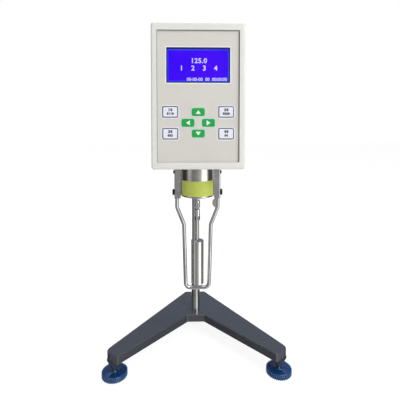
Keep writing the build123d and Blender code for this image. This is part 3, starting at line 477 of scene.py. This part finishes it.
# Name, digits, height, place across and up from the window's middle, spacing, stroke weight, in mm
mark_pitch = 15.3
DISPLAY_MARKS = [("display_reading", "125.0", 6.4, 0.8, 5.6, 1.1, 0.22)]
for at, digit in enumerate("1234"):
    across = (at - 1.5) * mark_pitch + 0.5
    DISPLAY_MARKS.append(("display_mark_%d" % (at + 1), digit, 6.6, across, -4.2, 1.0, 0.2))
DISPLAY_MARKS.append(("display_count", "00-00-00  00  00:00:00", 4.2, 11.6, -19.0, 1.0, 0.12))
for name, digits, height, across, up, spacing, weight in DISPLAY_MARKS:
    words(name, digits, height * MM, lit_mark, "head", window_mid.x + across * MM,
          mark_y, window_mid.z + up * MM, layer_depth, spacing, weight * MM)

outline_gap = 0.2 * MM
printed_ring("window_outline", (window_wide + 2 * outline_gap, window_tall + 2 * outline_gap), 1.1 * MM,
             0.3 * MM, panel_print_y, ink_white, "head", window_mid)


def build_painted_recess_shade(bm):
    """Painted shade: a dark strip on the panel's edge where the recess casts its shadow, widest at the
    right, open along the bottom.
    """
    top_shade_width = 0.55 * MM
    left_shade_width = 0.7 * top_shade_width
    right_shade_width = 1.6 * top_shade_width
    left, right, top, bottom = panel_low.x, panel_high.x, panel_high.z, panel_low.z
    outer = [(left, bottom), (left, top), (right, top), (right, bottom)]
    inner = [(left + left_shade_width, bottom), (left + left_shade_width, top - top_shade_width),
             (right - right_shade_width, top - top_shade_width), (right - right_shade_width, bottom)]
    seat_y = panel_low.y + print_seat
    rows = []
    for outline, y in ((outer, panel_print_y), (inner, panel_print_y),
                       (inner, seat_y), (outer, seat_y)):
        rows.append([bm.verts.new((x, y, z)) for x, z in outline])
    for at, row in enumerate(rows):
        following = rows[(at + 1) % 4]
        for point in range(3):
            bm.faces.new((row[point], row[point + 1], following[point + 1], following[point]))
    for end in (0, 3):
        bm.faces.new([row[end] for row in rows])


# Painted shade along the panel's recess, riding on the head
piece_from("panel_painted_recess_shade", build_painted_recess_shade, painted_recess_shade_ink, "head")

# Keys: outline, numbers, and a pale line printed round each opening
KEY_MARKS = {
    "upper_left_key": ("10", "0110"),
    "upper_right_key": ("20", "0220"),
    "lower_left_key": ("30", "033"),
    "lower_right_key": ("40", "04"),
}
ARROW_TURNS = {"up_arrow_key": 90, "down_arrow_key": 270, "left_arrow_key": 180, "right_arrow_key": 0}
key_gap = 0.3 * MM
outline_width = 1.05 * MM
outline_inset = 0.4 * MM
outline_radius = 0.9 * MM
arrow_half_length = 2.5 * MM
arrow_half_width = 3.4 * MM


def key_box(key_name):
    """Front, middle and size of a key, as it faces the viewer."""
    low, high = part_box(key_name)
    return low.y, (low + high) / 2, (high.x - low.x, high.z - low.z)


def key_halo(key_name, middle, size, band, radius, finish):
    """Pale line printed on the panel round a key's opening."""
    opening = (size[0] + 2 * key_gap, size[1] + 2 * key_gap)
    printed_ring(key_name + "_halo", opening, band, radius, panel_print_y, finish, "head",
                 middle)


for key_name, (upper, lower) in KEY_MARKS.items():
    front_y, middle, size = key_box(key_name)
    print_y = front_y - print_depth
    margin = 2 * (outline_inset + outline_width)
    printed_ring(key_name + "_line", (size[0] - margin, size[1] - margin), outline_width,
                 outline_radius, print_y, ink_outline, key_name, middle)
    words(key_name + "_mark", upper, 3.5 * MM, ink_dark, key_name, middle.x, print_y,
          middle.z + 2.6 * MM, print_depth, 1.25, 0.34 * MM)
    words(key_name + "_number", lower, 2.9 * MM, ink_dark, key_name, middle.x, print_y,
          middle.z - 2.5 * MM, print_depth, 1.15, 0.3 * MM)
    key_halo(key_name, middle, size, 0.9 * MM, 2.2 * MM, ink_white)

for key_name, degrees in ARROW_TURNS.items():
    front_y, middle, size = key_box(key_name)
    cosine = math.cos(math.radians(degrees))
    sine = math.sin(math.radians(degrees))
    triangle = [(arrow_half_length, 0), (-arrow_half_length, arrow_half_width),
                (-arrow_half_length, -arrow_half_width)]
    turned = [(x * cosine - z * sine, x * sine + z * cosine) for x, z in triangle]
    build = lambda bm: slab(bm, turned, front_y - print_depth, print_depth + print_seat,
                            middle.x, middle.z)
    piece_from(key_name + "_triangle", build, ink_white, key_name)
    key_halo(key_name, middle, size, 1.0 * MM, 2.0 * MM, ink_halo)


# Knob ribs, knurls and screw heads, grown by node trees
class Growth(Tree):
    """Geometry node tree with named inputs, which ends in real geometry with its finish set."""

    def __init__(self, name, **inputs):
        super().__init__(bpy.data.node_groups.new(name, "GeometryNodeTree"))
        self.keys = {}
        for title, kind in {**inputs, "finish": "Material"}.items():
            self.keys[title] = self.socket(title, "INPUT", kind).identifier
        self.socket("Geometry", "OUTPUT", "Geometry")
        self.given = self.tree.nodes.new("NodeGroupInput")

    def socket(self, title, way, kind):
        return self.tree.interface.new_socket(title, in_out=way, socket_type="NodeSocket" + kind)

    def take(self, title):
        return Wave(self, self.given.outputs[title])

    def end(self, geometry):
        real = self.node("GeometryNodeRealizeInstances", {}, {"Geometry": geometry})
        values = {"Geometry": real, "Material": self.take("finish")}
        done = self.node("GeometryNodeSetMaterial", {}, values)
        out = self.tree.nodes.new("NodeGroupOutput")
        self.tree.links.new(done.socket, out.inputs[0])

    def piece(self, name, place, body, slot_name, smooth=None, **values):
        """Plain mesh grown with these inputs, set in its place and riding on a body."""
        host = bpy.data.objects.new(name, bpy.data.meshes.new(name))
        bpy.context.scene.collection.objects.link(host)
        modifier = host.modifiers.new("growth", "NODES")
        modifier.node_group = self.tree
        for title, value in values.items():
            modifier[self.keys[title]] = value
        mesh = plain_mesh(host)
        mesh.transform(place)
        if smooth is not None:
            mesh.shade_smooth()
            mesh.set_sharp_from_angle(angle=math.radians(smooth))
        made = bpy.data.objects.new(name, mesh)
        bpy.context.scene.collection.objects.link(made)
        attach(made, body)
        return made


def bead_ring():
    """Upright round beads in a ring, for ribbed knobs and knurled heads."""
    growth = Growth("bead ring", count="Int", ring="Float", bead="Float", height="Float")
    circle = growth.node("GeometryNodeMeshCircle", {}, {
        "Vertices": growth.take("count"), "Radius": growth.take("ring")})
    bead = growth.node("GeometryNodeMeshCylinder", {}, {
        "Vertices": 12, "Radius": growth.take("bead"), "Depth": growth.take("height")})
    growth.end(growth.node("GeometryNodeInstanceOnPoints", {}, {"Points": circle, "Instance": bead}))
    return growth


def cross_heads():
    """Round screw heads with a cross recess, one at each corner of a rectangle."""
    growth = Growth("cross heads", wide="Float", tall="Float", radius="Float", depth="Float",
                    slot_long="Float", slot_wide="Float")
    corners = growth.node("GeometryNodeMeshGrid", {}, {
        "Size X": growth.take("wide"), "Size Y": growth.take("tall"), "Vertices X": 2, "Vertices Y": 2})
    head = growth.node("GeometryNodeMeshCylinder", {}, {
        "Vertices": 40, "Radius": growth.take("radius"), "Depth": growth.take("depth")})
    long_side = growth.take("slot_long")
    short_side = growth.take("slot_wide")
    depth = growth.take("depth")
    for first, second in ((long_side, short_side), (short_side, long_side)):
        size = growth.node("ShaderNodeCombineXYZ", {}, {"X": first, "Y": second, "Z": depth})
        bar = growth.node("GeometryNodeMeshCube", {}, {"Size": size})
        lift = growth.node("ShaderNodeCombineXYZ", {}, {"Z": depth * 0.5})
        raised = growth.node("GeometryNodeTransform", {}, {"Geometry": bar, "Translation": lift})
        head = growth.node("GeometryNodeMeshBoolean", {"operation": "DIFFERENCE"},
                           {"Mesh 1": head, "Mesh 2": raised})
    growth.end(growth.node("GeometryNodeInstanceOnPoints", {}, {"Points": corners, "Instance": head}))
    return growth


beads = bead_ring()
hub_height = 0.8 * MM
hub_radius = 6.0 * MM
rib_radius = 0.8 * MM
rib_count = 41
rim_step = 1.3 * MM
rim_edge = 1.0 * MM


def knob_profile(low_z, high_z, core):
    """Half section of a foot knob: straight side, rounded upper edge, flat top and a low hub."""
    rim_top = high_z - hub_height
    profile = [(0, low_z), (core, low_z)]
    for step in range(7):
        turn = step * math.pi / 12
        profile.append((core - rim_edge + rim_edge * math.cos(turn),
                        rim_top - rim_edge + rim_edge * math.sin(turn)))
    profile += [(hub_radius + 0.5 * MM, rim_top), (hub_radius, rim_top + 0.3 * MM),
                (hub_radius - 0.4 * MM, high_z), (0, high_z)]
    return profile


for foot in ("left", "right", "rear"):
    knob_name = foot + "_foot_knob"
    low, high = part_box(knob_name)
    middle = (low + high) / 2
    radius = (high.x - low.x) / 2
    profile = knob_profile(low.z, high.z, radius - rim_step)
    turned = piece_from(knob_name + "_body", lambda bm: lathe(bm, profile, middle.x, middle.y),
                        FINISHES["knob_blue"], foot + "_foot", 40)
    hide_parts(knob_name)
    rib_height = high.z - hub_height - rim_edge * 0.4 - low.z
    place = Matrix.Translation((middle.x, middle.y, low.z + rib_height / 2))
    # Ribs in the lighter blue, a painted highlight
    beads.piece(knob_name + "_ribs", place, foot + "_foot", "knob_blue", 40, count=rib_count,
                ring=radius - rib_radius, bead=rib_radius, height=rib_height, finish=rib_blue_painted_highlight)

knurl_radius = 0.3 * MM
knurl_count = 32
screw_head = 2.7 * MM
for side in ("left", "right"):
    screw_name = side + "_guard_screw"
    low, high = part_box(screw_name)
    middle = (low + high) / 2
    head_x = low.x + screw_head / 2 if side == "left" else high.x - screw_head / 2
    place = Matrix.Translation((head_x, middle.y, middle.z)) @ Matrix.Rotation(math.pi / 2, 4, "Y")
    beads.piece(screw_name + "_knurl", place, side + "_screw", "black_steel", count=knurl_count,
                ring=(high.z - low.z) / 2 - knurl_radius, bead=knurl_radius, height=screw_head,
                finish=FINISHES["zinc_steel"])

low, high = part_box("case_screws")
middle = (low + high) / 2
head_radius = 3.2 * MM
head_depth = 1.8 * MM
place = Matrix.Translation((middle.x, high.y - head_depth / 2, middle.z))
place = place @ Matrix.Rotation(-math.pi / 2, 4, "X")
screw_heads = cross_heads().piece(
    "case_screw_heads", place, "head", "zinc_steel", 30, wide=high.x - low.x - 2 * head_radius,
    tall=high.z - low.z - 2 * head_radius, radius=head_radius, depth=head_depth,
    slot_long=3.8 * MM, slot_wide=0.9 * MM, finish=FINISHES["zinc_steel"])
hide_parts("case_screws")


# Floor, light and camera
def floor_finish():
    """Pale studio floor: near white to the camera, with the object's shadow kept."""
    finish = Finish("studio floor")
    shade = finish.blend(finish.noise(3.0, 2.0), (0.86, 0.86, 0.86), (0.88, 0.88, 0.88))
    matte = finish.node("ShaderNodeBsdfDiffuse", {}, {"Color": shade, "Roughness": 0.4})
    glow = finish.node("ShaderNodeEmission", {}, {"Color": (1.0, 1.0, 1.0, 1.0), "Strength": 1.12})
    nothing = finish.node("ShaderNodeBsdfTransparent", {}, {})
    seen = finish.node("ShaderNodeLightPath", {}, {}, "Is Camera Ray")
    mirrored = finish.node("ShaderNodeLightPath", {}, {}, "Is Glossy Ray")
    lit_floor = finish.node("ShaderNodeMixShader", {}, {0: seen * 0.8, 1: matte, 2: glow})
    mixed = finish.node("ShaderNodeMixShader", {}, {0: mirrored, 1: lit_floor, 2: nothing})
    finish.tree.links.new(mixed.socket, finish.output.inputs["Surface"])
    return finish.material


floor_reach = 6
floor_mesh = bpy.data.meshes.new("studio_floor")
floor_corners = [(x * floor_reach, y * floor_reach, 0) for x, y in ((-1, -1), (1, -1), (1, 1), (-1, 1))]
floor_mesh.from_pydata(floor_corners, [], [(0, 1, 2, 3)])
floor_mesh.materials.append(floor_finish())
floor = bpy.data.objects.new("studio_floor", floor_mesh)
bpy.context.scene.collection.objects.link(floor)


def soft_lamp(name, place, wide, tall, watts):
    """Soft rectangular lamp that faces the middle of the object."""
    light = bpy.data.lights.new(name, "AREA")
    light.shape = "RECTANGLE"
    light.size = wide
    light.size_y = tall
    light.energy = watts
    lamp = bpy.data.objects.new(name, light)
    lamp.location = place
    aim = Vector((0, 0, 0.3)) - Vector(place)
    lamp.rotation_euler = aim.to_track_quat("-Z", "Y").to_euler()
    bpy.context.scene.collection.objects.link(lamp)


soft_lamp("key_lamp", (1.0, -1.3, 1.3), 0.9, 0.9, 18)
soft_lamp("fill_lamp", (-1.3, -1.1, 0.9), 1.0, 1.2, 1.5)
soft_lamp("top_lamp", (0.1, 0.3, 1.7), 1.2, 1.2, 11)

# Brightness of the studio walls by bearing, from the back over the left, the front and the right to
# the back again: the front is at 0.5
WALLS = ((0.0, 0.75), (0.06, 0.7), (0.12, 0.05), (0.25, 0.04), (0.29, 0.12), (0.325, 0.55),
         (0.365, 0.50), (0.41, 0.22), (0.49, 0.32), (0.56, 0.6), (0.60, 1.7), (0.67, 1.7), (0.71, 0.25),
         (0.74, 0.09), (0.88, 0.08), (0.94, 0.7), (1.0, 0.75))


def studio_world():
    """White backdrop for what the camera sees; a studio with darker sides for what metal mirrors."""
    world = bpy.data.worlds.new("studio")
    world.use_nodes = True
    sky = Tree(world.node_tree)
    sky.tree.nodes.clear()
    direction = sky.node("ShaderNodeTexCoord", {}, {}, "Generated")
    across = sky.node("ShaderNodeSeparateXYZ", {}, {0: direction}, "X")
    toward = sky.node("ShaderNodeSeparateXYZ", {}, {0: direction}, "Y") * -1.0
    rise = sky.node("ShaderNodeSeparateXYZ", {}, {0: direction}, "Z")
    bearing = across.math("ARCTAN2", toward) / math.pi
    around = sky.node("ShaderNodeValToRGB", {}, {0: (bearing + 1.0) * 0.5})
    ramp = around.socket.node.color_ramp
    for end, (position, level) in zip(ramp.elements, (WALLS[0], WALLS[-1])):
        end.position = position
        end.color = (level, level, level, 1)
    for position, level in WALLS[1:-1]:
        ramp.elements.new(position).color = (level, level, level, 1)
    walls = sky.blend(rise.smooth(0.02, 0.16), around, (0.18, 0.22, 0.29))
    studio = sky.blend(rise.smooth(0.6, 0.85), walls, (1.2, 1.2, 1.2))
    diffuse = sky.blend(across * 0.5 + 0.5, (0.14, 0.13, 0.13), (0.92, 0.92, 0.92))
    seen = sky.node("ShaderNodeLightPath", {}, {}, "Is Camera Ray")
    passed = sky.node("ShaderNodeLightPath", {}, {}, "Is Transmission Ray")
    mirrored = sky.node("ShaderNodeLightPath", {}, {}, "Is Glossy Ray")
    around_object = sky.blend(mirrored, diffuse, studio)
    shown = sky.blend(seen.math("MAXIMUM", passed), around_object, (1.0, 1.0, 1.0))
    background = sky.node("ShaderNodeBackground", {}, {"Color": shown, "Strength": 1.0})
    out = sky.tree.nodes.new("ShaderNodeOutputWorld")
    sky.tree.links.new(background.socket, out.inputs["Surface"])
    bpy.context.scene.world = world


studio_world()

camera_data = bpy.data.cameras.new("camera")
camera_data.sensor_width = 36.0
camera_data.lens = 31.77
camera_data.shift_x = 0.0063
camera_data.shift_y = -0.1565
camera = bpy.data.objects.new("camera", camera_data)
camera.location = (-0.0135, -0.5938, 0.389)
camera.rotation_euler = (math.radians(87.5), 0.0, math.radians(-1.5))
bpy.context.scene.collection.objects.link(camera)
bpy.context.scene.camera = camera
bpy.context.scene.view_settings.view_transform = "Standard"
